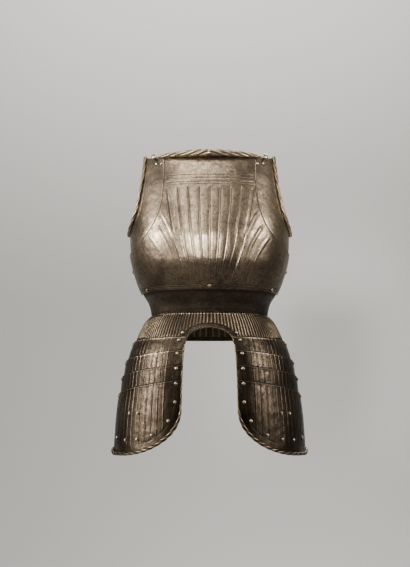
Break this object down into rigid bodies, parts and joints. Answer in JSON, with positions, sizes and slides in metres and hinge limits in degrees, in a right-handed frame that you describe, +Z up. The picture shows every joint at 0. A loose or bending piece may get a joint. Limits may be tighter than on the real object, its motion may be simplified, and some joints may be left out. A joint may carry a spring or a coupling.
{
  "type": "half armour",
  "caption": "Fluted plate half armour: globose breastplate with gussets and roped neck, waist plate, skirt with arch, hinged tassets, plain back.",
  "frame": {"origin": "middle of the waist opening, level with the line where the skirt meets the waist plate", "axes": "+Z up, -Y towards the front of the breastplate, +X towards the right-hand tasset in the picture"},
  "size_m": [0.4312, 0.2806, 0.6723],
  "materials": {
    "plate_steel": "patinated and waxed, hammered, with darker stains in the recesses",
    "rivet_steel": "patinated, worn bright on top"
  },
  "bodies": {
    "cuirass": {"backplate": "plate_steel", "breastplate": "plate_steel", "culet": "plate_steel", "fauld": "plate_steel", "waist_plate": "plate_steel", "side_pin_left": "rivet_steel", "rivet_waist_left": "rivet_steel", "rivet_neck_left": "rivet_steel", "rivet_fauld_left": "rivet_steel", "side_pin_right": "rivet_steel", "rivet_waist_right": "rivet_steel", "rivet_neck_right": "rivet_steel", "rivet_fauld_right": "rivet_steel", "rivet_waist_middle": "rivet_steel"},
    "gusset_left": {"gusset_left": "plate_steel", "stud_left": "rivet_steel", "rivet_gusset_left": "rivet_steel"},
    "left_lame_1": {"tasset_left_lame_1": "plate_steel", "rivet_left_1_inner": "rivet_steel", "rivet_left_1_outer": "rivet_steel"},
    "left_lame_2": {"tasset_left_lame_2": "plate_steel", "rivet_left_2_inner": "rivet_steel", "rivet_left_2_outer": "rivet_steel"},
    "left_lame_3": {"tasset_left_lame_3": "plate_steel", "rivet_left_3_inner": "rivet_steel", "rivet_left_3_outer": "rivet_steel"},
    "left_lame_4": {"tasset_left_lame_4": "plate_steel", "rivet_left_4_inner": "rivet_steel", "rivet_left_4_outer": "rivet_steel", "rivet_left_4_end_1": "rivet_steel", "rivet_left_4_end_2": "rivet_steel", "rivet_left_4_end_3": "rivet_steel", "rivet_left_4_end_4": "rivet_steel", "rivet_left_4_end_5": "rivet_steel", "rivet_left_4_end_6": "rivet_steel", "rivet_left_4_end_7": "rivet_steel", "rivet_left_4_end_8": "rivet_steel"},
    "gusset_right": {"gusset_right": "plate_steel", "stud_right": "rivet_steel", "rivet_gusset_right": "rivet_steel"},
    "right_lame_1": {"tasset_right_lame_1": "plate_steel", "rivet_right_1_inner": "rivet_steel", "rivet_right_1_outer": "rivet_steel"},
    "right_lame_2": {"tasset_right_lame_2": "plate_steel", "rivet_right_2_inner": "rivet_steel", "rivet_right_2_outer": "rivet_steel"},
    "right_lame_3": {"tasset_right_lame_3": "plate_steel", "rivet_right_3_inner": "rivet_steel", "rivet_right_3_outer": "rivet_steel"},
    "right_lame_4": {"tasset_right_lame_4": "plate_steel", "rivet_right_4_inner": "rivet_steel", "rivet_right_4_outer": "rivet_steel", "rivet_right_4_end_1": "rivet_steel", "rivet_right_4_end_2": "rivet_steel", "rivet_right_4_end_3": "rivet_steel", "rivet_right_4_end_4": "rivet_steel", "rivet_right_4_end_5": "rivet_steel", "rivet_right_4_end_6": "rivet_steel", "rivet_right_4_end_7": "rivet_steel", "rivet_right_4_end_8": "rivet_steel"}
  },
  "joints": [
    {"name": "left_lame_1_turn", "type": "hinge", "parent": "cuirass", "child": "left_lame_1", "pos_m": [-0.06551, -0.13507, -0.0589], "axis": [-0.698, 0.7156, -0.0266], "range_deg": [0, 8]},
    {"name": "left_lame_2_turn", "type": "hinge", "parent": "left_lame_1", "child": "left_lame_2", "pos_m": [-0.06909, -0.14504, -0.08815], "axis": [-0.712, 0.6947, -0.1024], "range_deg": [0, 8]},
    {"name": "left_lame_3_turn", "type": "hinge", "parent": "left_lame_2", "child": "left_lame_3", "pos_m": [-0.07107, -0.15089, -0.12051], "axis": [-0.7157, 0.6891, -0.1135], "range_deg": [0, 8]},
    {"name": "left_lame_4_turn", "type": "hinge", "parent": "left_lame_3", "child": "left_lame_4", "pos_m": [-0.07224, -0.15551, -0.15283], "axis": [-0.7186, 0.6819, -0.1367], "range_deg": [0, 8]},
    {"name": "gusset_left_turn", "type": "hinge", "parent": "cuirass", "child": "gusset_left", "pos_m": [-0.10574, -0.07269, 0.3342], "axis": [-0.3689, -0.7984, 0.4759], "range_deg": [0, 2]},
    {"name": "right_lame_1_turn", "type": "hinge", "parent": "cuirass", "child": "right_lame_1", "pos_m": [0.06551, -0.13507, -0.0589], "axis": [-0.698, -0.7156, 0.0266], "range_deg": [0, 8]},
    {"name": "right_lame_2_turn", "type": "hinge", "parent": "right_lame_1", "child": "right_lame_2", "pos_m": [0.06909, -0.14504, -0.08815], "axis": [-0.712, -0.6947, 0.1024], "range_deg": [0, 8]},
    {"name": "right_lame_3_turn", "type": "hinge", "parent": "right_lame_2", "child": "right_lame_3", "pos_m": [0.07107, -0.15089, -0.12051], "axis": [-0.7157, -0.6891, 0.1135], "range_deg": [0, 8]},
    {"name": "right_lame_4_turn", "type": "hinge", "parent": "right_lame_3", "child": "right_lame_4", "pos_m": [0.07224, -0.15551, -0.15283], "axis": [-0.7186, -0.6819, 0.1367], "range_deg": [0, 8]},
    {"name": "gusset_right_turn", "type": "hinge", "parent": "cuirass", "child": "gusset_right", "pos_m": [0.10574, -0.07269, 0.3342], "axis": [-0.3689, 0.7984, -0.4759], "range_deg": [0, 2]}
  ]
}
